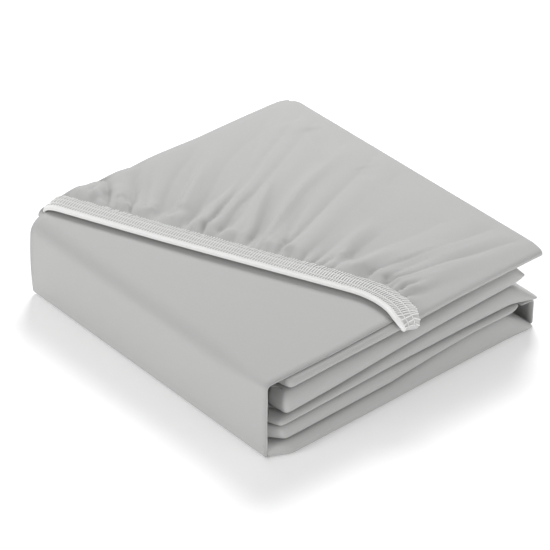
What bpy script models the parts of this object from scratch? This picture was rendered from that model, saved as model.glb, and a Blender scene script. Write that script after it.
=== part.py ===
"""A fitted sheet, folded into a flat bundle with its gathered, elastic-edged corner on top.

The cloth is one continuous sheet.  It runs back and forth in layers whose folds show along the front
(-Y) as five rounded ridges.  It wraps the whole bundle at the outer wall (-X) and ends in a flap on
top, and it wraps the lower ridges at the far wall (+X).  Its first layer lies on top of all, gathered
into a white elastic band that crosses the bundle on a diagonal.

Lengths are in metres.  The tables are in millimetres and are scaled by MM.  Inside the bundle, x runs
along the front from the outer wall, y runs back from the front edge and z runs up from the floor.
The last step moves the bundle's bottom centre to the origin.
"""

import math
from collections import namedtuple

import bmesh
import bpy

MM = 0.001

# Driving sizes
LENGTH = 250 * MM  # outer wall to far wall, along x
DEPTH = 269.4 * MM  # from the wall's front edge to the back folds, along y
CLOTH = 1.2 * MM  # cloth thickness: the real layers pressed together in one fold
AIR = 0.6 * MM  # gap between two cloth layers that lie on each other
BAND_WIDTH = 19 * MM
BAND_THICKNESS = 1.8 * MM
SEAM_GAP = 0.3 * MM  # between the band and the cloth under it

# The bundle is a little higher at its back left and a little lower at its back right.
BACK_SCALE_LEFT = 1.03
BACK_SCALE_RIGHT = 0.965

# The ridges along the front, from the top down.  top and foot are the heights of the outer faces, at
# the outer wall (near) and at the far wall (far).  nose is the y of the front fold, start the x where
# the nose begins, behind the x of the layers' near edge further back.  The ends are where the top,
# the nose and the foot stop.  inner is the number of layers folded up inside.
Ridge = namedtuple("Ridge", "top_near top_far foot_near foot_far nose start behind end_top end_nose end_foot inner")
RIDGES = [
    Ridge(61.8, 66.8, 52.6, 60.6, -2.2, 17, 10, 247, 240, 228, 2),
    Ridge(51.9, 59.9, 33.4, 47.4, -3.6, 12, 5, 236, 234, 226, 4),
    Ridge(32.7, 44.6, 26.2, 29.9, -3.2, 9, 5, 219, 224, 226, 2),
    Ridge(25.5, 29.2, 13.2, 23.0, -3.8, 13, 5, 228, 230, 228, 2),
    Ridge(12.5, 22.3, 0.0, 0.0, -5.0, 19, 5.6, 222, 234, 245.4, 4),
]
NOSE_DEPTH = 5.0 * MM  # how deep the round of a ridge's front fold is
INNER_SETBACK = 2.6 * MM  # how far the folds inside a ridge stay behind its nose
TURN_DEPTH = 0.9 * MM  # depth of a tight fold between two layers
BACK_DEPTH = 3.0 * MM  # depth of the round of an outer back fold
BACK_SETBACK = 2.4 * MM  # how far the back folds inside another stay behind it
CORNER_SLANT = 1.1  # how fast a ridge's near corner runs back towards the wall, in x for each y
MIDDLE_ROWS = (14, 100, 190)  # y of the rows between the folds

# The wraps at both walls, which carry on from the ends of the bottom layer
FOOT_RADIUS = 5 * MM
SHOULDER_RADIUS = 10 * MM
FLAP_END = 150 * MM
FAR_WALL_HEIGHT = 26 * MM
FAR_RADIUS = 4 * MM
TONGUE_BEGIN = 224 * MM
TONGUE_END = 190 * MM

# The gathered layer's front edge rolls over the first ridge: (y, height over the layer's middle).
LIP = ((-5.4, -3.8), (-5.1, -2.2), (-4.0, -0.9), (-2.0, -0.2))

# The band's centre line in plan is straight, and curls in towards the outer wall at the front.
BAND_BACK_X = 27 * MM
BAND_BACK_Y = 263 * MM
BAND_RUN = 0.428  # x for each y, towards the front
CURL_BEGIN = 48 * MM
CURL = 20 * MM
CURL_LENGTH = 52 * MM
CLOTH_UNDER_BAND = 6 * MM  # how far the cloth reaches past the band's centre line

# The band's section: how far across it, and how high over its flat middle, in millimetres.
BAND_SECTION = ((-9.5, -1.4), (-8.6, -0.2), (-5.5, 0.6), (-1, 0.9), (4, 0.6), (9.5, 0.0))

# Gathers in the top layer: soft ridges that start at the band, at y, and run on a heading (degrees
# from +x towards +y), with a length, a half width at the band and at the far end, and a height.
Gather = namedtuple("Gather", "y heading length width_band width_end height")
GATHERS = [
    Gather(246, 50, 30, 7, 9, 1.8),
    Gather(222, 48, 52, 8, 10, 2.4),
    Gather(202, 40, 80, 8, 13, 2.8),
    Gather(181, 33, 110, 7, 16, 3.0),
    Gather(158, 37, 60, 7, 11, 2.2),
    Gather(139, 38, 105, 6, 15, 3.0),
    Gather(120, 26, 135, 7, 14, 3.4),
    Gather(101, 34, 70, 7, 14, 2.4),
    Gather(78, 24, 100, 8, 20, 2.8),
    Gather(59, 6, 50, 6, 12, 2.2),
    Gather(42, -8, 100, 5, 9, 2.2),
    Gather(28, -14, 80, 5, 8, 1.8),
]

COLUMNS = 7  # cells along x in a folded layer; the gathered layer has twice as many
NOSE_STEPS = 6
TURN_STEPS = 4
GATHER_ROWS = 28

SHEET_GREY = (0.50, 0.50, 0.49, 1.0)
BAND_WHITE = (0.85, 0.85, 0.84, 1.0)

# A layer of the bundle: heights of its middle at both walls, the ridge that it belongs to, and its
# place in that ridge, from 0 at the top to 1 at the foot.  The gathered layer belongs to no ridge.
Layer = namedtuple("Layer", "near far ridge place")

# A row of the cloth runs along x, from start to end, at one y.  near and far are heights.
Row = namedtuple("Row", "y near far start end")


def mix(a, b, share):
    return a + (b - a) * share


def ridge_layers(ridge):
    """The layers of one ridge, from its top to its foot."""
    layers = []
    for k in range(ridge.inner + 2):
        share = k / (ridge.inner + 1)
        near = mix(ridge.top_near * MM - CLOTH / 2, ridge.foot_near * MM + CLOTH / 2, share)
        far = mix(ridge.top_far * MM - CLOTH / 2, ridge.foot_far * MM + CLOTH / 2, share)
        place = share if share in (0, 1) else 0.5
        layers.append(Layer(near, far, ridge, place))
    return layers


def gathered_layer():
    """The top layer: it lies on the flap, which lies on the first ridge."""
    lift = AIR + CLOTH + AIR + CLOTH / 2
    return Layer(RIDGES[0].top_near * MM + lift, RIDGES[0].top_far * MM + lift, None, 0)


def cloth_route():
    """The layers in the order in which the cloth visits them.

    From the gathered layer it goes down round the outside of every ridge, and then back up through
    the layers inside them.
    """
    ridges = [ridge_layers(ridge) for ridge in RIDGES]
    route = [gathered_layer()]
    for layers in ridges:
        route += [layers[0], layers[-1]]
    for layers in reversed(ridges):
        route += reversed(layers[1:-1])
    return route


def band_x(y):
    """The x of the band's centre line."""
    x = BAND_BACK_X + BAND_RUN * (BAND_BACK_Y - y)
    if y < CURL_BEGIN:
        x -= CURL * min(1, (CURL_BEGIN - y) / CURL_LENGTH) ** 2
    return x


def near_start(layer, y):
    """Where a layer begins.  A ridge's near corner runs back towards the outer wall on a slant."""
    if layer.ridge is None:
        return band_x(y) - CLOTH_UNDER_BAND
    ridge = layer.ridge
    slant = (y - ridge.nose * MM) * CORNER_SLANT
    return max(ridge.behind * MM, ridge.start * MM - slant)


def far_end(layer, place):
    """Where a layer, or the round between two layers of a ridge, stops."""
    if layer.ridge is None:
        return LENGTH - CLOTH
    ridge = layer.ridge
    if place < 0.5:
        return mix(ridge.end_top, ridge.end_nose, 2 * place) * MM
    return mix(ridge.end_nose, ridge.end_foot, 2 * place - 1) * MM


def row_between(a, b, share, y):
    """The row at y that lies a share of the way round the fold from layer a to layer b."""
    start = mix(near_start(a, y), near_start(b, y), share)
    if a.ridge is b.ridge:
        end = far_end(a, mix(a.place, b.place, share))
    else:
        end = mix(far_end(a, a.place), far_end(b, b.place), share)
    return Row(y, mix(a.near, b.near, share), mix(a.far, b.far, share), start, end)


def fold_rows(a, b, tip, depth, steps):
    """The rows round a fold; tip is its outermost y, and a negative depth makes a front fold."""
    rows = []
    for k in range(steps + 1):
        angle = math.pi * k / steps
        y = tip - depth * (1 - math.sin(angle))
        rows.append(row_between(a, b, (1 - math.cos(angle)) / 2, y))
    return rows


def front_fold(a, b):
    nose = a.ridge.nose * MM
    if a.place == 0:
        return fold_rows(a, b, nose, -NOSE_DEPTH, NOSE_STEPS)
    return fold_rows(a, b, nose + INNER_SETBACK, -TURN_DEPTH, TURN_STEPS)


def back_fold(a, b):
    """A back fold round another one is deep; a fold between two neighbours is tight."""
    if a.ridge is None:
        return fold_rows(a, b, DEPTH, BACK_DEPTH, NOSE_STEPS)
    going_down = a.near > b.near
    if a.ridge is not b.ridge and not going_down:
        return fold_rows(a, b, DEPTH, BACK_DEPTH, TURN_STEPS)
    return fold_rows(a, b, DEPTH - BACK_SETBACK, TURN_DEPTH, TURN_STEPS)


def folded_rows():
    """Every row from the first back fold to the cloth's end inside the bundle."""
    route = cloth_route()
    middle = [y * MM for y in MIDDLE_ROWS]
    rows = back_fold(route[0], route[1])
    for k in range(1, len(route) - 1):
        here, following = route[k], route[k + 1]
        to_front = k % 2 == 1
        for y in reversed(middle) if to_front else middle:
            rows.append(row_between(here, here, 0, y))
        rows += front_fold(here, following) if to_front else back_fold(here, following)
    last = route[-1]
    return rows + [row_between(last, last, 0, y) for y in middle]


def gathered_rows():
    """Every row of the gathered layer, from its lip to the start of its back fold."""
    layer = gathered_layer()
    rows = []
    for y, rise in LIP:
        row = row_between(layer, layer, 0, y * MM)
        rows.append(row._replace(near=row.near + rise * MM, far=row.far + rise * MM * 0.6))
    last = DEPTH - BACK_DEPTH - 3 * MM
    for k in range(GATHER_ROWS + 1):
        rows.append(row_between(layer, layer, 0, mix(1 * MM, last, k / GATHER_ROWS)))
    return rows


def height_at(row, x):
    """The height of a row at x, with the bundle's slope towards its back over a flat bottom layer."""
    bottom = CLOTH / 2
    back = min(1, max(0, row.y / DEPTH))
    near = (row.near - bottom) * mix(1, BACK_SCALE_LEFT, back)
    far = (row.far - bottom) * mix(1, BACK_SCALE_RIGHT, back)
    return bottom + mix(near, far, x / LENGTH)


def gather_height(x, y):
    """How far the gathers lift the top layer at a place."""
    total = 0
    for g in GATHERS:
        dy = y - g.y * MM
        dx = x - band_x(g.y * MM) - BAND_WIDTH / 2
        heading = math.radians(g.heading)
        along = (dx * math.cos(heading) + dy * math.sin(heading)) / (g.length * MM)
        if 0 < along < 1:
            across = dy * math.cos(heading) - dx * math.sin(heading)
            width = mix(g.width_band, g.width_end, along) * MM
            rise = math.sin(math.pi * along**0.6)
            total += g.height * MM * rise * math.exp(-((across / width) ** 2))
    beside_band = (x - band_x(y) - BAND_WIDTH / 2) / (4 * MM)
    inside_edges = min(y, DEPTH - y, LENGTH - x) / (12 * MM)
    return total * max(0, min(1, beside_band, inside_edges))


def folded_line(mesh, row):
    """The vertices of a row inside the bundle."""
    places = [mix(row.start, row.end, k / COLUMNS) for k in range(COLUMNS + 1)]
    return [mesh.verts.new((x, row.y, height_at(row, x))) for x in places]


def gathered_line(mesh, row):
    """The vertices of a row of the gathered layer: its first cell is the one under the band."""
    band_edge = row.start + CLOTH_UNDER_BAND + BAND_WIDTH / 2
    cells = 2 * COLUMNS - 1
    places = [row.start] + [mix(band_edge, row.end, k / cells) for k in range(cells + 1)]
    return [mesh.verts.new((x, row.y, height_at(row, x) + gather_height(x, row.y))) for x in places]


def add_cells(mesh, first, second):
    """Faces between two rows of vertices; the first row may have twice as many cells."""
    if len(first) == len(second):
        for k in range(len(first) - 1):
            mesh.faces.new((first[k], first[k + 1], second[k + 1], second[k]))
        return
    for k in range(len(second) - 1):
        mesh.faces.new((first[2 * k], first[2 * k + 1], first[2 * k + 2], second[k + 1], second[k]))


def arc(centre_x, centre_z, radius, first, last, steps):
    """Points (x, near, far) round an arc; the angles are in degrees from +x towards +z."""
    points = []
    for k in range(steps + 1):
        angle = math.radians(mix(first, last, k / steps))
        z = centre_z + radius * math.sin(angle)
        points.append((centre_x + radius * math.cos(angle), z, z))
    return points


def outer_wrap():
    """Up the outer wall from the bottom layer, round the shoulder and along the flap."""
    half = CLOTH / 2
    near = RIDGES[0].top_near * MM + AIR + half
    far = RIDGES[0].top_far * MM + AIR + half
    foot = arc(half + FOOT_RADIUS, half + FOOT_RADIUS, FOOT_RADIUS, 270, 180, 3)
    shoulder = arc(half + SHOULDER_RADIUS, near - SHOULDER_RADIUS, SHOULDER_RADIUS, 180, 90, 5)
    flap = [(x * MM, near, far) for x in (45, 95)] + [(FLAP_END, near, far)]
    return foot[1:] + [(half, near / 2, near / 2)] + shoulder + flap


def far_wrap():
    """Up the far wall from the bottom layer, and in between the second and the third ridge."""
    half = CLOTH / 2
    face = LENGTH - half - FAR_RADIUS
    foot = arc(face, half + FAR_RADIUS, FAR_RADIUS, 270, 360, 3)
    shoulder = arc(face, FAR_WALL_HEIGHT - FAR_RADIUS, FAR_RADIUS, 0, 50, 2)
    near = mix(RIDGES[1].foot_near, RIDGES[2].top_near, 0.5) * MM
    far = mix(RIDGES[1].foot_far, RIDGES[2].top_far, 0.5) * MM
    tongue = [(x, near, far) for x in (TONGUE_BEGIN, TONGUE_END)]
    return foot[1:] + shoulder + tongue


def add_wrap(mesh, edge, route):
    """Carries the cloth on from one side of the bottom layer, along a route in x and z."""
    previous = edge
    for x, near, far in route:
        line = [mesh.verts.new((x, v.co.y, height_at(Row(v.co.y, near, far, x, x), x))) for v in edge]
        add_cells(mesh, previous, line)
        previous = line


def make_object(name, mesh, colour, roughness, thickness):
    """An object from an open surface, made solid, with its own material."""
    bmesh.ops.recalc_face_normals(mesh, faces=mesh.faces)
    data = bpy.data.meshes.new(name)
    mesh.to_mesh(data)
    mesh.free()
    data.shade_smooth()
    material = bpy.data.materials.new(name)
    material.use_nodes = True
    shader = material.node_tree.nodes["Principled BSDF"]
    shader.inputs["Base Color"].default_value = colour
    shader.inputs["Roughness"].default_value = roughness
    shader.inputs["Metallic"].default_value = 0.0
    data.materials.append(material)
    made = bpy.data.objects.new(name, data)
    solidify = made.modifiers.new("thickness", "SOLIDIFY")
    solidify.thickness = thickness
    solidify.offset = 0
    solidify.use_even_offset = True
    solidify.use_quality_normals = True
    return made


def make_cloth():
    mesh = bmesh.new()
    previous = None
    for row in gathered_rows():
        line = gathered_line(mesh, row)
        if previous:
            add_cells(mesh, previous, line)
        previous = line
    bottom = []
    floor_layer = ridge_layers(RIDGES[-1])[-1]
    for row in folded_rows():
        line = folded_line(mesh, row)
        add_cells(mesh, previous, line)
        previous = line
        if row.near == floor_layer.near:
            bottom.append(line)
    add_wrap(mesh, [line[0] for line in bottom], outer_wrap())
    add_wrap(mesh, [line[-1] for line in bottom], far_wrap())
    return make_object("sheet_cloth", mesh, SHEET_GREY, 0.9, CLOTH)


def band_rows():
    """The cloth's rows that the band follows: over the lip, along the top and over the back fold."""
    return gathered_rows() + folded_rows()[: NOSE_STEPS // 2 + 1]


def outward(rows, k):
    """The direction (y, z) out of the cloth at a row, long enough to keep an even distance."""
    normals = []
    for a, b in ((k - 1, k), (k, k + 1)):
        if a >= 0 and b < len(rows):
            run_y, run_z = rows[b].y - rows[a].y, rows[b].near - rows[a].near
            run = math.hypot(run_y, run_z)
            normals.append((-run_z / run, run_y / run))
    first, last = normals[0], normals[-1]
    share = 1 / (1 + first[0] * last[0] + first[1] * last[1])
    return (first[0] + last[0]) * share, (first[1] + last[1]) * share


def make_band():
    """The elastic band follows the cloth's edge, a seam's gap over its outer face."""
    rows = band_rows()
    mesh = bmesh.new()
    previous = None
    for k, row in enumerate(rows):
        out_y, out_z = outward(rows, k)
        line = []
        on_back_fold = row.y > DEPTH - BACK_DEPTH
        for across, rise in BAND_SECTION:
            x = band_x(row.y) + across * MM
            over_seam = max(0, rise) if on_back_fold else rise
            lift = CLOTH / 2 + SEAM_GAP + BAND_THICKNESS / 2 + over_seam * MM
            line.append(mesh.verts.new((x, row.y + lift * out_y, height_at(row, x) + lift * out_z)))
        if previous:
            add_cells(mesh, previous, line)
        previous = line
    return make_object("elastic_band", mesh, BAND_WHITE, 0.8, BAND_THICKNESS)


def centre_on_floor(objects):
    """Applies the modifiers and moves the bundle's bottom centre to the origin."""
    graph = bpy.context.evaluated_depsgraph_get()
    for obj in objects:
        solid = bpy.data.meshes.new_from_object(obj.evaluated_get(graph))
        obj.modifiers.clear()
        obj.data = solid
    points = [v.co for obj in objects for v in obj.data.vertices]
    middle = [(min(p[i] for p in points) + max(p[i] for p in points)) / 2 for i in (0, 1)]
    floor = min(p[2] for p in points)
    for point in points:
        point.x -= middle[0]
        point.y -= middle[1]
        point.z -= floor


def main():
    for obj in list(bpy.data.objects):
        bpy.data.objects.remove(obj)
    collection = bpy.data.collections.new("fitted_sheet")
    bpy.context.scene.collection.children.link(collection)
    parts = [make_cloth(), make_band()]
    for part in parts:
        collection.objects.link(part)
    centre_on_floor(parts)


main()
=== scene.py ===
"""The looks of a folded fitted sheet: grey cloth, gathered into a white elastic edge, on a pale floor.

Sizes are in millimetres inside the bundle and are turned into metres by MM.  Inside the bundle, x runs
along the front from the outer wall, y runs back from the front edge and z runs up from the floor.
"""

import math
from collections import namedtuple

import bmesh
import bpy
import numpy as np
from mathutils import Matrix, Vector


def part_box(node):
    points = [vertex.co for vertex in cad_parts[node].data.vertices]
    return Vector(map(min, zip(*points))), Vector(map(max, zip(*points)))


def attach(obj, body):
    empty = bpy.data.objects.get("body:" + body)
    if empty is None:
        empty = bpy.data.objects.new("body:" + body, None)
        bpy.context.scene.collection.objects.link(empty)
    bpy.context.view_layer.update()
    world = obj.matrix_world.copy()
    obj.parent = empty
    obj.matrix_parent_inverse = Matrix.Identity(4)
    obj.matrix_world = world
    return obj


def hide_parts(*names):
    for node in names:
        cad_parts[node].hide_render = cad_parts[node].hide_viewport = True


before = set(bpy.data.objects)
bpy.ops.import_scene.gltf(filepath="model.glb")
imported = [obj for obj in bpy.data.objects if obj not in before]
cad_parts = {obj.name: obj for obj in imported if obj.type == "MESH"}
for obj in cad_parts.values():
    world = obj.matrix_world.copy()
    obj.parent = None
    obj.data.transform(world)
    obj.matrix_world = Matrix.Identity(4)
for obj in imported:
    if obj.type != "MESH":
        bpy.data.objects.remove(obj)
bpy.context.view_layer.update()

MM = 0.001
SHEET_LOW, SHEET_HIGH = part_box("sheet_cloth")

# Driving sizes of the bundle, from the frame.  DEPTH is the y of the back folds.
CLOTH = 1.0
AIR = 0.6
LENGTH = (SHEET_HIGH[0] - SHEET_LOW[0]) / MM
DEPTH = 269.4
ORIGIN = Vector((SHEET_LOW[0], SHEET_HIGH[1] - (DEPTH + 0.6) * MM, SHEET_LOW[2]))
HALF = CLOTH / 2
BACK_SCALE_LEFT = 1.03
BACK_SCALE_RIGHT = 0.965

# The fold lines between the ridges along the front: their heights at the stations along x.
STATIONS = (15, 60, 110, 150, 185, 225, 250)
FOLD_LINES = (
    (61.9, 62.2, 64.2, 65.2, 66.0, 66.6, 66.8),
    (52.2, 54.4, 55.2, 56.8, 59.4, 61.6, 62.6),
    (32.8, 35.2, 39.7, 42.6, 44.0, 45.6, 46.4),
    (26.0, 27.3, 28.8, 29.2, 29.7, 29.3, 29.3),
    (12.9, 14.1, 15.4, 20.0, 23.0, 22.8, 22.8),
)
LINE_GAP = 0.7

# The ridges, from the top down.  nose is the y of the front fold at both walls.  The near corner is at
# corner_top and corner_foot, and from it the ridge's end runs back on a leg of that length, turned so
# many degrees towards the outer wall; behind is where the layers begin further back.  At the far end
# the ridge closes from bend on, down to the height tip at x end.  inner layers are folded up inside.
Ridge = namedtuple(
    "Ridge",
    "nose_near nose_far corner_top corner_foot leg turned behind bend end tip depth inner",
)
RIDGES = (
    Ridge(-2.4, -2.6, 17, 19, 15, 12, 10, 226, 249, 68.0, 4.5, 2),
    Ridge(-4.4, -3.6, 13, 13, 18, 4, 5, 226, 236, 51.0, 6.5, 4),
    Ridge(-3.4, -3.4, 11, 9, 14, 22, 5, 222, 250, 25.2, 5.0, 2),
    Ridge(-3.8, -3.6, 10, 14, 14, 40, 5, 222, 231, 27.0, 4.5, 2),
    Ridge(-6.2, -3.0, 13, 18.6, 17, 62, 6, 218, 246.5, 2.2, 5.0, 4),
)
INNER_SETBACK = 2.8
TURN_DEPTH = 0.8
BACK_DEPTH = 3.0
BACK_SETBACK = 2.4
NOSE_STEPS = 14
TURN_STEPS = 5
MIDDLE_ROWS = (13, 22, 60, 130, 200)
FLOOR_ROWS = 44

# Columns of the cloth along x: across a ridge's near end, along its front and in its far end.
LEG_COLUMNS = 9
FRONT_COLUMNS = 26
END_COLUMNS = 13
COLUMNS = LEG_COLUMNS + FRONT_COLUMNS + END_COLUMNS


def mix(a, b, share):
    return a + (b - a) * share


def ease(low, high, value):
    """0 below low, 1 above high, and a smooth rise in between."""
    t = np.clip((value - low) / (high - low), 0, 1)
    return t * t * (3 - 2 * t)


def fold_line(number, x):
    if number == len(FOLD_LINES):
        return np.zeros_like(x) - LINE_GAP / 2
    return np.interp(x, STATIONS, FOLD_LINES[number])


def over_floor(z, x, y):
    """A height with the bundle's slope towards its back."""
    back = np.clip(y / DEPTH, 0, 1)
    slope = mix(BACK_SCALE_LEFT, BACK_SCALE_RIGHT, x / LENGTH)
    return HALF + (z - HALF) * mix(1, slope, back)


def ridge_height(number, share, x):
    """The height of a ridge's layer at x; share runs from 0 at the ridge's top to 1 at its foot."""
    ridge = RIDGES[number]
    closing = np.clip((x - ridge.bend) / (ridge.end - ridge.bend), 0, 1) ** 1.25
    top = fold_line(number, x) - LINE_GAP / 2 - HALF
    foot = fold_line(number + 1, x) + LINE_GAP / 2 + HALF
    top = mix(top, ridge.tip + 0.85, closing)
    if number + 1 < len(RIDGES):
        foot = mix(foot, ridge.tip - 0.85, closing)
    return mix(top, foot, share)


Layer = namedtuple("Layer", "ridge share")


def ridge_layers(number):
    """The layers of one ridge, from its top to its foot."""
    gaps = RIDGES[number].inner + 1
    return [Layer(number, k / gaps) for k in range(gaps + 1)]


def sheet_route():
    """The layers in the order in which the cloth visits them, down round the ridges and back inside."""
    ridges = [ridge_layers(number) for number in range(len(RIDGES))]
    outside = [layers[k] for layers in ridges for k in (0, -1)]
    inside = [layer for layers in reversed(ridges) for layer in reversed(layers[1:-1])]
    return outside + inside


def columns_between(start, bend, end):
    """x of the front and end columns: close together beside the near corner and in the far end."""
    front = mix(start, bend, np.linspace(0, 1, FRONT_COLUMNS + 1) ** 1.4)
    return np.concatenate([front[:-1], np.linspace(bend, end, END_COLUMNS + 1)])


def inner_plan(number, depth):
    """Plan of a row inside a ridge: x and y of every column."""
    ridge = RIDGES[number]
    x = np.linspace(max(ridge.corner_top, ridge.corner_foot) + 7, ridge.bend - 3, COLUMNS + 1)
    nose = mix(ridge.nose_near, ridge.nose_far, x / LENGTH)
    return x, nose * max(0, 1 - depth / 40) + depth


def outer_plan(number, depth, share):
    """Plan of a row on a ridge's outside: along its leg, round its near corner and along its front."""
    ridge = RIDGES[number]
    turned = math.radians(ridge.turned)
    corner_x = mix(ridge.corner_top, ridge.corner_foot, share)
    back = float(ease(2, 20, depth))
    nose_shift = max(0, 1 - depth / 40)
    corner = np.array([corner_x + depth * (1 - math.sin(turned)) / math.cos(turned), 0.0])
    corner[0] = mix(corner[0], ridge.behind + 4, back)
    corner[1] = ridge.nose_near * nose_shift + depth
    leg_x = corner_x - ridge.leg * math.sin(turned) + depth * math.cos(turned)
    leg_y = ridge.nose_near + ridge.leg * math.cos(turned) + depth * math.sin(turned)
    leg_end = np.array([mix(leg_x, ridge.behind, back), max(corner[1], leg_y)])
    leg = mix(leg_end[:, None], corner[:, None], np.linspace(0, 1, LEG_COLUMNS + 1)[None, :-1])
    along = columns_between(corner[0], ridge.bend, ridge.end)
    nose = mix(ridge.nose_near, ridge.nose_far, along / LENGTH)
    closing = np.clip((along - ridge.end + 7) / 7, 0, 1)
    x = np.concatenate([leg[0], along])
    y = np.concatenate([leg[1], nose * nose_shift + depth + 2.0 * closing**2])
    near = LEG_COLUMNS + 5
    for _ in range(2):
        x[1:near] = (x[: near - 1] + 2 * x[1:near] + x[2 : near + 1]) / 4
        y[1:near] = (y[: near - 1] + 2 * y[1:near] + y[2 : near + 1]) / 4
    return x, y


def layer_plan(layer, depth):
    if layer.share in (0, 1):
        return outer_plan(layer.ridge, depth, layer.share)
    return inner_plan(layer.ridge, depth)


def row_between(a, b, share, depth):
    """Points of the row that lies a share of the way round the fold from layer a to layer b."""
    ax, ay = layer_plan(a, depth)
    bx, by = layer_plan(b, depth)
    x, y = mix(ax, bx, share), mix(ay, by, share)
    z = mix(ridge_height(a.ridge, a.share, x), ridge_height(b.ridge, b.share, x), share)
    return np.stack([x, y, over_floor(z, x, y)], axis=1)


def fold_rows(a, b, tip, size, steps):
    """The rows round a fold whose tip is at that depth; a front fold's size is negative."""
    rows = []
    for k in range(steps + 1):
        angle = math.pi * k / steps
        depth = tip - size * (1 - math.sin(angle) ** 0.85)
        rows.append(row_between(a, b, (1 - math.cos(angle)) / 2, depth))
    return rows


def front_fold(a, b):
    if a.share == 0:
        return fold_rows(a, b, 0, -RIDGES[a.ridge].depth, NOSE_STEPS)
    return fold_rows(a, b, INNER_SETBACK, -TURN_DEPTH, TURN_STEPS)


def back_fold(a, b):
    going_up = a.ridge > b.ridge
    if going_up:
        return fold_rows(a, b, DEPTH, BACK_DEPTH, TURN_STEPS + 2)
    return fold_rows(a, b, DEPTH - BACK_SETBACK, TURN_DEPTH, TURN_STEPS)


def folded_rows():
    """Rows of all the layers under the gathered one, and which of them are the bottom layer's."""
    route = sheet_route()
    floor_layer = ridge_layers(len(RIDGES) - 1)[-1]
    rows, bottom = [], []
    for k, here in enumerate(route):
        to_front = k % 2 == 0
        depths = list(MIDDLE_ROWS)
        if here == floor_layer:
            depths = list(np.linspace(7, DEPTH - 6, FLOOR_ROWS))
            bottom.append(len(rows) - 1)
        for depth in reversed(depths) if to_front else depths:
            rows.append(row_between(here, here, 0, depth))
            if here == floor_layer:
                bottom.append(len(rows) - 1)
        if k + 1 < len(route):
            rows += front_fold(here, route[k + 1]) if to_front else back_fold(here, route[k + 1])
    return rows, bottom


# The elastic's centre line in plan is straight, and curls in towards the outer wall at the front.
BAND_BACK_X, BAND_BACK_Y = 27, 263
BAND_RUN = 0.428
CURL_BEGIN, CURL, CURL_LENGTH = 48, 20, 52
BAND_HALF = 9.5
CLOTH_UNDER_BAND = 6
GATHER_COLUMNS = 2 * COLUMNS
GATHER_ROWS = 220
LIP = ((-5.4, -4.4), (-5.7, -3.2), (-5.5, -2.1), (-4.9, -1.3), (-3.9, -0.7), (-2.6, -0.3), (-1.2, -0.1))

# The gathered layer lies PLUMP over the layer below.  Folds up to SWELL high fan out from the elastic
# and die away over SWELL_REACH; FAN_LEAN is the slope dy/dx, in plan, of the folds that leave it at
# FAN_AT.  Small puckers beside the elastic are PUCKER high and die away over PUCKER_REACH.
PLUMP = 1.2
SWELL, SWELL_REACH = 5.6, 65
FAN_AT = (0, 45, 90, 170, 200, 240)
FAN_LEAN = (-0.28, -0.17, 0.35, 0.5, 0.7, 1.6)
FAN_STEPS = 24
PUCKER, PUCKER_REACH = 3.2, 12
SQUARE_TO_BAND = 0.92
LAST_ROW_SETBACK = 5
FAR_SETBACK = 1.2
CORNER_RADIUS = 15
GATHER_STRENGTH = 1.6
GATHER_POINTS = 41
CREST_SHARPNESS, VALLEY_SHARPNESS = 1.7, 1.1

# Gathers of the top layer, as crests (height over 0) and valleys.  Each starts at (x, y) beside the
# elastic and runs to (to_x, to_y); bow is how far its middle swings to its left; the widths are those
# of its near and far ends.
Gather = namedtuple("Gather", "x y to_x to_y bow height width to_width")
GATHERS = (
    Gather(50, 256, 63, 262, 1, -1.4, 3, 4),
    Gather(46, 249, 68, 263, 1, 1.8, 3, 5),
    Gather(52, 241, 64, 255, 0, -1.6, 3, 4),
    Gather(61, 236, 72, 258, 0, 1.4, 4, 6),
    Gather(60, 226, 90, 264, 3, -2.2, 4, 7),
    Gather(58, 221, 90, 262, 3, 2.0, 3, 5),
    Gather(65, 212, 116, 263, 3, -2.4, 5, 9),
    Gather(67, 210, 82, 221, 0, 1.2, 3, 5),
    Gather(72, 194, 156, 250, 3, -3.2, 5, 10),
    Gather(82, 194, 160, 247, 2, 2.6, 4, 7),
    Gather(83, 171, 212, 247, 4, -2.6, 6, 14),
    Gather(82, 167, 142, 196, 5, 1.8, 4, 9),
    Gather(92, 150, 141, 187, 2, -1.8, 5, 9),
    Gather(96, 131, 104, 140, 0, -1.2, 3, 4),
    Gather(98, 136, 184, 202, 2, 2.2, 4, 8),
    Gather(101, 130, 192, 202, 4, -2.6, 6, 14),
    Gather(99, 125, 250, 186, 8, 3.0, 4, 8),
    Gather(109, 111, 178, 151, 5, -2.6, 5, 10),
    Gather(107, 106, 138, 126, 2, 1.6, 4, 7),
    Gather(230, 224, 214, 182, 2, -1.2, 8, 9),
    Gather(222, 243, 206, 172, 3, 1.0, 9, 10),
    Gather(224, 157, 216, 136, 0, -0.8, 5, 6),
    Gather(250, 130, 214, 125, 1, -1.0, 7, 7),
    Gather(129, 76, 190, 97, 3, 2.0, 5, 10),
    Gather(130, 71, 245, 54, 9, -2.4, 6, 16),
    Gather(126, 56, 176, 52, 4, 1.4, 5, 8),
    Gather(130, 45, 230, 28, 6, 2.2, 4, 8),
    Gather(133, 36, 192, 30, 3, -2.2, 4, 8),
    Gather(134, 29, 212, 11, 5, 1.6, 4, 7),
    Gather(136, 19, 160, 13, 1, -1.6, 3, 5),
    Gather(135, 15, 162, 4, 2, 1.2, 3, 5),
    Gather(133, 7, 152, 3, 0, -1.0, 3, 4),
)


def band_x(y):
    """x of the elastic's centre line."""
    curled = np.clip((CURL_BEGIN - y) / CURL_LENGTH, 0, 1)
    return BAND_BACK_X + BAND_RUN * (BAND_BACK_Y - y) - CURL * curled**2


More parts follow.
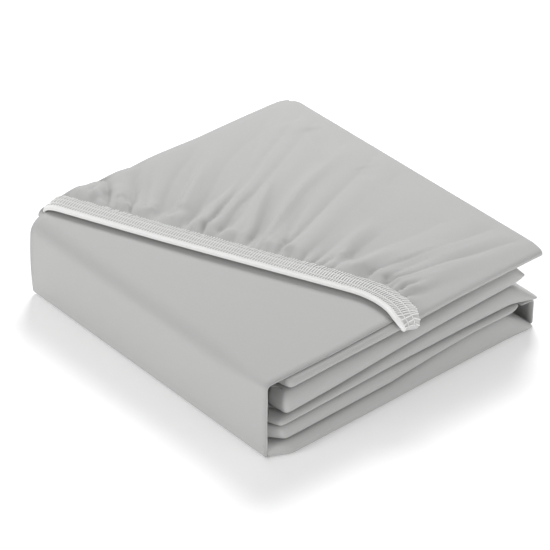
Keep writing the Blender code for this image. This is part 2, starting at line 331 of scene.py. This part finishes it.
def pucker(y):
    """The small uneven waves, from 0 to 1, in which the cloth meets the elastic."""
    phase = y / 7.6 + 0.9 * np.sin(y / 17.0) + 0.5 * np.sin(y / 7.3 + 2.0)
    size = 0.7 + 0.3 * np.sin(y / 12.0 + 1.3)
    return size * np.abs(np.sin(math.pi * phase / 1.15))


def gather_height(x, y):
    """How far the gathers lift the top layer at many places at once."""
    total = np.zeros_like(x)
    for g in GATHERS:
        start, stop = np.array([g.x, g.y], float), np.array([g.to_x, g.to_y], float)
        run = stop - start
        left = np.array([-run[1], run[0]]) / np.hypot(*run)
        control = (start + stop) / 2 + 2 * g.bow * left
        nearest = np.full(x.shape, 1e9)
        place = np.zeros(x.shape)
        for t in np.linspace(0, 1, GATHER_POINTS):
            px, py = (1 - t) ** 2 * start + 2 * t * (1 - t) * control + t * t * stop
            gap = np.hypot(x - px, y - py)
            place = np.where(gap < nearest, t, place)
            nearest = np.minimum(gap, nearest)
        width = mix(g.width, g.to_width, place)
        fade = ease(0, 0.12, place) * (1 - ease(0.45, 1, place))
        sharpness = CREST_SHARPNESS if g.height > 0 else VALLEY_SHARPNESS
        total += GATHER_STRENGTH * g.height * fade * np.exp(-((nearest / width) ** sharpness))
    return total


def fan_foot(x, y):
    """The place along the elastic from which the gather through (x, y) fans out."""
    foot = y
    for _ in range(FAN_STEPS):
        lean = np.interp(foot, FAN_AT, FAN_LEAN)
        foot = mix(foot, y - np.maximum(x - band_x(foot), 0) * lean, 0.5)
    return foot


def top_height(x, y):
    """The height of the gathered layer's middle."""
    base = ridge_height(0, 0, np.minimum(x, RIDGES[0].bend)) + 2 * (CLOTH + AIR)
    beside = (x - band_x(y) - BAND_HALF) * SQUARE_TO_BAND
    front, far = ease(0, 16, y), ease(0, 16, LENGTH - x)
    foot = fan_foot(x, y)
    wide = np.abs(np.sin(math.pi * (foot / 20 + 0.5 * np.sin(foot / 27) + 0.25 * np.sin(foot / 9 + 1))))
    swell = SWELL * wide * ease(-2, 9, beside) * np.exp(-np.maximum(beside - PUCKER_REACH, 0) / SWELL_REACH)
    folds = (swell + gather_height(x, y) * ease(-1, 4, beside)) * ease(-6, 8, DEPTH - y)
    reach = np.exp(-np.maximum(beside, 0) / PUCKER_REACH)
    waves = PUCKER * pucker(foot) * reach * ease(-3, 2, beside) * ease(2, 10, y)
    lift = PLUMP * ease(-4, 6, y) * ease(0, 8, DEPTH - y)
    return over_floor(base, x, y) + lift + np.maximum(folds, -0.5) * front * far + waves


def gathered_rows():
    """Rows of the gathered layer: a lip over the front edge, then the whole top of the bundle."""
    rows = []
    under = np.linspace(0, 1, 9)[:-1] * (CLOTH_UNDER_BAND + BAND_HALF)
    for y, drop in LIP + tuple((y, 0.0) for y in np.linspace(0.2, DEPTH - LAST_ROW_SETBACK, GATHER_ROWS)):
        start = band_x(y) - CLOTH_UNDER_BAND
        edge = start + CLOTH_UNDER_BAND + BAND_HALF
        even = np.linspace(0, 1, GATHER_COLUMNS + 1 - len(under))
        x = np.concatenate([start + under, mix(edge, LENGTH - FAR_SETBACK, even)])
        rows.append(np.stack([x, np.full_like(x, y), top_height(x, np.full_like(x, y)) + drop], axis=1))
    return rows


def top_back_fold():
    """The rows that carry the gathered layer round the back, down to the first ridge's top layer."""
    first = Layer(0, 0)
    rows = []
    for k in range(1, NOSE_STEPS + 1):
        angle = math.pi * k / NOSE_STEPS
        share = (1 - math.cos(angle)) / 2
        depth = DEPTH - BACK_DEPTH * (1 - math.sin(angle))
        low = row_between(first, first, 0, depth)
        x = np.linspace(band_x(depth) - CLOTH_UNDER_BAND, LENGTH - FAR_SETBACK, COLUMNS + 1)
        y = np.full_like(x, depth)
        high = np.stack([x, y, top_height(x, np.full_like(x, DEPTH - LAST_ROW_SETBACK))], axis=1)
        rows.append(mix(high, low, share))
    return rows


def arc(centre_x, centre_z, radius, first, last, steps):
    """Points (x, z) round an arc; the angles are in degrees from +x towards +z."""
    angles = np.radians(np.linspace(first, last, steps + 1))
    return [(centre_x + radius * math.cos(a), centre_z + radius * math.sin(a)) for a in angles]


FOOT_RADIUS = 4
SHOULDER_RADIUS = 13
WALL_BULGE = 0.9
FLAP_END = 150
FAR_WRAP_RADIUS = 2.0
FAR_WRAP_TOP = 20.2


def outer_wrap_line(y):
    """Points of the outer wrap at y: up the wall, round the shoulder and along the flap."""
    top = float(ridge_height(0, 0, np.array([0.0]))[0]) + CLOTH + AIR
    radius = mix(FOOT_RADIUS, SHOULDER_RADIUS, float(ease(0, 55, y)))
    points = arc(HALF + FOOT_RADIUS, HALF + FOOT_RADIUS, FOOT_RADIUS, 255, 180, 4)
    low, high = points[-1][1], top - radius
    for share in np.linspace(0, 1, 14)[1:-1]:
        bulge = WALL_BULGE * math.sin(math.pi * share)
        points.append((HALF - bulge, mix(low, high, share)))
    points += arc(HALF + radius, high, radius, 180, 90, 12)
    line = [(x, y, float(over_floor(z, x, y))) for x, z in points]
    for x in np.linspace(points[-1][0] + 4, FLAP_END, 22):
        level = float(ridge_height(0, 0, np.array([x]))[0]) + CLOTH + AIR
        line.append((x, y, float(over_floor(level, x, y))))
    line = np.array(line)
    roll = 0.9 * math.exp(-(((y - 8) / 4) ** 2)) - 0.7 * math.exp(-(((y - 2) / 3) ** 2))
    below_top = 1 - ease(top - 14, top - 2, line[:, 2])
    upright = ease(3, 14, line[:, 2]) * (1 - ease(14, 30, line[:, 0])) * below_top
    line[:, 0] += roll * upright
    line[:, 1] -= 1.6 * math.exp(-y / 6) * upright
    return line


def far_wrap_line(y):
    """Points of the far wrap at y: up the far wall, and in under the third ridge."""
    radius = FAR_WRAP_RADIUS
    face = LENGTH - HALF - radius
    points = arc(face, HALF + radius, radius, 285, 360, 4)
    points += [(LENGTH - HALF, z) for z in np.linspace(5, 20, 6)]
    points += arc(face, FAR_WRAP_TOP, radius, 10, 90, 4) + [(face - 5, 22.6), (face - 10, 23.0)]
    return np.array([(x, y, float(over_floor(z, x, y))) for x, z in points])


def join_rows(mesh, first, second):
    """Faces between two lines of vertices; the first line may have twice as many cells."""
    double = len(first) > len(second)
    for k in range(len(second) - 1):
        if double:
            mesh.faces.new((first[2 * k], first[2 * k + 1], first[2 * k + 2], second[k + 1], second[k]))
        else:
            mesh.faces.new((first[k], first[k + 1], second[k + 1], second[k]))


def bundle_point(x, y, z):
    """A place in the bundle, in metres; the far back corner is round in plan."""
    u, v = (x - LENGTH) / CORNER_RADIUS + 1, (y - DEPTH) / CORNER_RADIUS + 1
    if min(u, v) > 0:
        inward = (max(u, v) / math.hypot(u, v) - 1) * CORNER_RADIUS
        x, y = x + u * inward, y + v * inward
    return ORIGIN + Vector((x, y, z)) * MM


def add_line(mesh, points):
    return [mesh.verts.new(bundle_point(*point)) for point in points]


def add_wrap(mesh, edge, edge_points, route_at):
    """Carries the cloth on from one side of the bottom layer, up a wall."""
    depths = np.linspace(1.0, DEPTH - LAST_ROW_SETBACK, len(edge))
    routes = [route_at(y) for y in depths]
    previous = edge
    for step in range(len(routes[0])):
        line = []
        for k, route in enumerate(routes):
            x, y, z = route[step]
            shift = math.exp(-step / 2.0) * (edge_points[k][1] - depths[k])
            line.append(mesh.verts.new(bundle_point(x, y + shift, z)))
        join_rows(mesh, previous, line)
        previous = line


def finish_mesh(name, mesh, material, thickness=None):
    """An object from a mesh, made solid if it's a sheet, with smooth faces and its material."""
    bmesh.ops.recalc_face_normals(mesh, faces=mesh.faces)
    data = bpy.data.meshes.new(name)
    mesh.to_mesh(data)
    mesh.free()
    data.materials.append(material)
    piece = bpy.data.objects.new(name, data)
    bpy.context.scene.collection.objects.link(piece)
    bpy.ops.object.select_all(action="DESELECT")
    piece.select_set(True)
    bpy.context.view_layer.objects.active = piece
    if thickness:
        solidify = piece.modifiers.new("thickness", "SOLIDIFY")
        solidify.thickness = thickness * MM
        solidify.offset = 0
        solidify.use_quality_normals = True
        bpy.ops.object.modifier_apply(modifier=solidify.name)
    bpy.ops.object.shade_smooth()
    return piece


def make_sheet(material):
    mesh = bmesh.new()
    previous = None
    for row in gathered_rows():
        line = add_line(mesh, row)
        if previous:
            join_rows(mesh, previous, line)
        previous = line
    rows, bottom = folded_rows()
    lines = []
    for row in top_back_fold()[:-1] + rows:
        line = add_line(mesh, row)
        join_rows(mesh, previous, line)
        previous = line
        lines.append(line)
    lines = lines[-len(rows):]
    bottom = sorted(set(bottom))
    add_wrap(mesh, [lines[k][0] for k in bottom], [rows[k][0] for k in bottom], outer_wrap_line)
    add_wrap(mesh, [lines[k][-1] for k in bottom], [rows[k][-1] for k in bottom], far_wrap_line)
    return finish_mesh("fitted_sheet_cloth", mesh, material, CLOTH)


# The elastic's section: how far across and how high over the cloth.  Its left edge is rolled.
BAND_TOP = (
    (-9.8, 0.2), (-9.4, 1.1), (-8.4, 1.9), (-7.0, 2.2), (-5.6, 1.9), (-4.0, 1.5), (-2.0, 1.4),
    (0.5, 1.4), (3.0, 1.35), (5.5, 1.25), (8.0, 1.1), (9.5, 0.7),
)
BAND_UNDER = ((9.3, 0.2), (5.0, 0.1), (0.0, 0.1), (-4.5, 0.1), (-6.5, -0.5), (-8.4, -0.9), (-9.6, -0.4))
ROLLED_FACES = 4
RING_STEP = 0.7
SMOOTHINGS = 6

# Where the elastic goes over the bundle's back and front edges: y and drop from the top.
OVER_BACK = ((DEPTH + 0.9, -4.2), (DEPTH + 0.8, -2.6), (DEPTH - 0.2, -1.0), (DEPTH - 1.6, -0.2))
OVER_FRONT = ((-2.8, -0.4), (-4.6, -1.2), (-5.9, -2.6), (-6.4, -4.4), (-6.3, -6.2), (-5.6, -7.8))

# The overlock stitches, STITCH apart.  A bar is given as points across the elastic and over it, how
# far it slants and its radius; a chain as its place across and over the elastic.
STITCH = 2.1
BARS = (
    (((-6.4, 2.1), (-5.6, 2.45), (-3.6, 2.0), (-2.8, 1.6)), 0.1, 0.42),
    (((-1.6, 1.5), (-0.9, 1.9), (2.4, 1.85), (3.2, 1.45)), 0.25, 0.45),
    (((4.2, 1.4), (5.6, 1.8), (8.4, 1.55), (9.9, 0.6)), 1.3, 0.5),
)
CHAINS = ((-6.9, 2.15), (-2.2, 1.5), (3.7, 1.4))
CHAIN_RADIUS, CHAIN_SWAY = 0.36, 0.22
THREAD_SIDES = 5


def band_path():
    """Places along the elastic, with its middle there and its crosswise and outward directions."""
    on_top = tuple((y, 0.0) for y in np.arange(DEPTH - 3, -1.0, -1.5))
    points = []
    for y, drop in OVER_BACK + on_top + OVER_FRONT:
        x = float(band_x(y))
        level = top_height(np.array([x]), np.array([min(max(y, 0), DEPTH)]))[0]
        points.append((x, y, level + drop))
    points = np.array(points)
    length = np.concatenate([[0], np.cumsum(np.linalg.norm(np.diff(points, axis=0), axis=1))])
    even = np.linspace(0, length[-1], int(length[-1] / RING_STEP))
    path = np.stack([np.interp(even, length, points[:, k]) for k in range(3)], axis=1)
    for _ in range(SMOOTHINGS):
        path[1:-1] = (path[:-2] + 2 * path[1:-1] + path[2:]) / 4
    along = np.gradient(path, axis=0)
    along /= np.linalg.norm(along, axis=1)[:, None]
    level = (path[:, 1] > 2) & (path[:, 1] < DEPTH - 6)
    first, last = np.flatnonzero(level)[[0, -1]]
    held = np.clip(np.arange(len(path)), first, last)
    across = np.array([-along[held, 1], along[held, 0], np.zeros(len(path))]).T
    across -= along * np.sum(across * along, axis=1)[:, None]
    across /= np.linalg.norm(across, axis=1)[:, None]
    across *= np.sign(across[:, 0])[:, None]
    outward = np.cross(across, along)
    outward *= np.sign(outward[first, 2])
    return even, path, across, outward


BAND = band_path()


def on_band(place, across, height):
    """A point on the elastic, in metres: mm along it, mm across it and mm over the cloth."""
    even, path, sideways, outward = BAND
    lines = (path, sideways, outward)
    centre, side, out = (np.array([np.interp(place, even, v[:, k]) for k in range(3)]) for v in lines)
    wave = pucker(centre[1])
    right = float(ease(0, 9, across))
    narrower = 1 - 0.3 * ease(even[-1] - 12, even[-1], place)
    spread = across * (1 + 0.07 * (wave - 0.5) * right) * narrower
    lift = HALF + 0.3 + height + 0.5 * (wave - 0.5) * right
    return bundle_point(*(centre + side * spread + out * lift))


def make_band(material, ground):
    """The elastic: its rolled edge is bare and white, and the rest is the ground that the stitches cover,
    painted darker grey as the shade in the gaps between the stitches, where the grey cloth also shows
    through.
    """
    mesh = bmesh.new()
    even = BAND[0]
    section = BAND_TOP + BAND_UNDER
    previous, first = None, None
    for place in even[::2]:
        ring = [mesh.verts.new(on_band(place, across, height)) for across, height in section]
        if previous:
            for k in range(len(ring)):
                n = (k + 1) % len(ring)
                face = mesh.faces.new((previous[k], previous[n], ring[n], ring[k]))
                # Faces past the rolled edge take the darker ground, which is painted shade between the
                # stitches.
                face.material_index = int(ROLLED_FACES <= k < len(BAND_TOP))
        first = first or ring
        previous = ring
    mesh.faces.new(first)
    mesh.faces.new(list(reversed(previous)))
    band = finish_mesh("elastic_edge", mesh, material)
    band.data.materials.append(ground)
    return band


def add_thread(mesh, points, radius):
    """A thread along a few points, pressed a little flat, closed at both ends."""
    rings = []
    for k, point in enumerate(points):
        ahead = points[min(k + 1, len(points) - 1)] - points[max(k - 1, 0)]
        side = ahead.cross(Vector((0, 0, 1))).normalized()
        up = side.cross(ahead).normalized()
        size = radius * MM
        turns = [2 * math.pi * j / THREAD_SIDES for j in range(THREAD_SIDES)]
        rings.append([mesh.verts.new(point + (side * math.cos(a) + up * math.sin(a)) * size) for a in turns])
    for low, high in zip(rings, rings[1:]):
        for j in range(THREAD_SIDES):
            n = (j + 1) % THREAD_SIDES
            mesh.faces.new((low[j], low[n], high[n], high[j]))
    mesh.faces.new(list(reversed(rings[0])))
    mesh.faces.new(rings[-1])


def make_stitches(material):
    """Three rows of overlock stitches: short bars, long bars and slanted loops over the edge."""
    mesh = bmesh.new()
    last = BAND[0][-1] - 2
    for place in np.arange(4, last, STITCH):
        for bar, slant, radius in BARS:
            begin = bar[0][0]
            points = [on_band(place + slant * (across - begin) / 4, across, height) for across, height in bar]
            add_thread(mesh, points, radius)
    places = np.arange(3, last, STITCH / 2)
    for across, height in CHAINS:
        sways = [CHAIN_SWAY * math.cos(math.pi * k) for k in range(len(places))]
        points = [on_band(place, across + sway, height + 0.15) for place, sway in zip(places, sways)]
        add_thread(mesh, points, CHAIN_RADIUS)
    return finish_mesh("overlock_stitches", mesh, material)


def socket(group, name, kind, way, value=None):
    made = group.interface.new_socket(name=name, in_out=way, socket_type=kind)
    if value is not None:
        made.default_value = value
    return made


def math_node(group, operation, first, second):
    """The output of a maths node; first and second are numbers or other nodes' outputs."""
    node = group.nodes.new("ShaderNodeMath")
    node.operation = operation
    for entry, value in zip(node.inputs, (first, second)):
        if isinstance(value, float):
            entry.default_value = value
        else:
            group.links.new(value, entry)
    return node.outputs[0]


def weave_group():
    """Plain weave: fine crossing threads with a soft uneven tone."""
    group = bpy.data.node_groups.new("plain weave", "ShaderNodeTree")
    socket(group, "Colour", "NodeSocketColor", "INPUT", (0.5, 0.5, 0.5, 1))
    socket(group, "Threads", "NodeSocketFloat", "INPUT", 1800.0)
    socket(group, "Unevenness", "NodeSocketFloat", "INPUT", 0.05)
    socket(group, "Colour", "NodeSocketColor", "OUTPUT")
    socket(group, "Height", "NodeSocketFloat", "OUTPUT")
    nodes, links = group.nodes, group.links
    inside, outside = nodes.new("NodeGroupInput"), nodes.new("NodeGroupOutput")
    place = nodes.new("ShaderNodeTexCoord")
    waves = []
    for direction in ("X", "Y", "Z"):
        wave = nodes.new("ShaderNodeTexWave")
        wave.bands_direction = direction
        wave.inputs["Distortion"].default_value = 0.6
        links.new(place.outputs["Object"], wave.inputs["Vector"])
        links.new(inside.outputs["Threads"], wave.inputs["Scale"])
        waves.append(wave.outputs["Fac"])
    both = math_node(group, "ADD", waves[0], waves[1])
    links.new(math_node(group, "ADD", both, waves[2]), outside.inputs["Height"])
    grain = nodes.new("ShaderNodeTexNoise")
    grain.inputs["Scale"].default_value = 900
    grain.inputs["Detail"].default_value = 4
    links.new(place.outputs["Object"], grain.inputs["Vector"])
    spread = nodes.new("ShaderNodeMapRange")
    links.new(grain.outputs["Fac"], spread.inputs["Value"])
    uneven = inside.outputs["Unevenness"]
    links.new(math_node(group, "SUBTRACT", 1.0, uneven), spread.inputs["To Min"])
    links.new(math_node(group, "ADD", 1.0, uneven), spread.inputs["To Max"])
    tone = nodes.new("ShaderNodeVectorMath")
    tone.operation = "SCALE"
    links.new(inside.outputs["Colour"], tone.inputs[0])
    links.new(spread.outputs["Result"], tone.inputs["Scale"])
    links.new(tone.outputs["Vector"], outside.inputs["Colour"])
    return group


# The finishes.  threads is the weave's wave scale, and depth is its height in metres.
Finish = namedtuple("Finish", "name colour threads unevenness roughness depth")
GREY = Finish("light grey cloth", (0.445, 0.445, 0.44, 1), 1500, 0.03, 0.9, 0.0001)
WHITE = Finish("white elastic", (0.83, 0.83, 0.82, 1), 900, 0.04, 0.85, 0.0002)
# The ground under the stitches is the same white elastic, painted darker as the shade in the gaps between the
# stitches, where the grey cloth also shows through.
SHADED_STITCH_GROUND = Finish("stitched ground with painted shade", (0.6, 0.6, 0.595, 1), 900, 0.04, 0.9, 0.0002)
THREAD = Finish("white thread", (0.86, 0.86, 0.85, 1), 2500, 0.04, 0.7, 0.0001)


def cloth_material(weave, finish):
    material = bpy.data.materials.new(finish.name)
    material.use_nodes = True
    nodes, links = material.node_tree.nodes, material.node_tree.links
    shader = nodes["Principled BSDF"]
    shader.inputs["Roughness"].default_value = finish.roughness
    shader.inputs["Sheen Weight"].default_value = 0.12
    shader.inputs["Sheen Roughness"].default_value = 0.5
    shader.inputs["Specular IOR Level"].default_value = 0.25
    cloth = nodes.new("ShaderNodeGroup")
    cloth.node_tree = weave
    cloth.inputs["Colour"].default_value = finish.colour
    cloth.inputs["Threads"].default_value = finish.threads
    cloth.inputs["Unevenness"].default_value = finish.unevenness
    bump = nodes.new("ShaderNodeBump")
    bump.inputs["Strength"].default_value = 0.25
    bump.inputs["Distance"].default_value = finish.depth
    links.new(cloth.outputs["Colour"], shader.inputs["Base Color"])
    links.new(cloth.outputs["Height"], bump.inputs["Height"])
    links.new(bump.outputs["Normal"], shader.inputs["Normal"])
    return material


# The camera in the bundle's frame, in metres, and the light.
EYE = Vector((-1.21844, -1.44473, 1.44219))
AIM = Vector((0.11687, 0.13012, 0.035))
SENSOR = 36
HALF_VIEW = math.radians(4.5)
LENS = SENSOR / 2 / math.tan(HALF_VIEW)
WORLD_STRENGTH = 0.5
FLOOR_TONE, FLOOR_GLOW, FLOOR_SIZE = 0.95, 0.16, 30

# Each light's name, place, size in metres and power in watts.
LIGHTS = (
    ("overhead softbox", (0.7, 0.65, 1.1), 0.6, 15),
    ("left softbox", (-2.2, 0.1, 0.7), 0.8, 20),
    ("front softbox", (0.3, -2.2, 0.5), 1.0, 11),
)


def add_camera():
    camera = bpy.data.objects.new("camera", bpy.data.cameras.new("camera"))
    bpy.context.scene.collection.objects.link(camera)
    camera.data.lens = LENS
    camera.data.sensor_width = SENSOR
    camera.data.clip_end = 100
    camera.location = EYE + ORIGIN
    camera.rotation_euler = (AIM - EYE).to_track_quat("-Z", "Y").to_euler()
    bpy.context.scene.camera = camera


def add_light(name, place, size, power):
    light = bpy.data.lights.new(name, "AREA")
    light.size = size
    light.energy = power
    lamp = bpy.data.objects.new(name, light)
    bpy.context.scene.collection.objects.link(lamp)
    lamp.location = place
    lamp.rotation_euler = (-Vector(place)).to_track_quat("-Z", "Y").to_euler()


def add_studio():
    """A pale floor, a white room and three soft lights."""
    bpy.context.scene.view_settings.view_transform = "Standard"
    world = bpy.data.worlds.new("white room")
    bpy.context.scene.world = world
    world.use_nodes = True
    background = world.node_tree.nodes["Background"]
    background.inputs["Color"].default_value = (1, 1, 1, 1)
    background.inputs["Strength"].default_value = WORLD_STRENGTH
    for light in LIGHTS:
        add_light(*light)
    bpy.ops.mesh.primitive_plane_add(size=FLOOR_SIZE)
    floor = bpy.context.object
    floor.name = "pale_floor"
    material = bpy.data.materials.new("pale floor")
    material.use_nodes = True
    shader = material.node_tree.nodes["Principled BSDF"]
    shader.inputs["Base Color"].default_value = (FLOOR_TONE, FLOOR_TONE, FLOOR_TONE, 1)
    shader.inputs["Roughness"].default_value = 0.9
    shader.inputs["Emission Color"].default_value = (1, 1, 1, 1)
    shader.inputs["Emission Strength"].default_value = FLOOR_GLOW
    floor.data.materials.append(material)


def main():
    weave = weave_group()
    sheet = make_sheet(cloth_material(weave, GREY))
    band = make_band(cloth_material(weave, WHITE), cloth_material(weave, SHADED_STITCH_GROUND))
    stitches = make_stitches(cloth_material(weave, THREAD))
    for piece in (sheet, band, stitches):
        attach(piece, "root")
    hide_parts("sheet_cloth")
    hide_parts("elastic_band")
    add_camera()
    add_studio()


main()
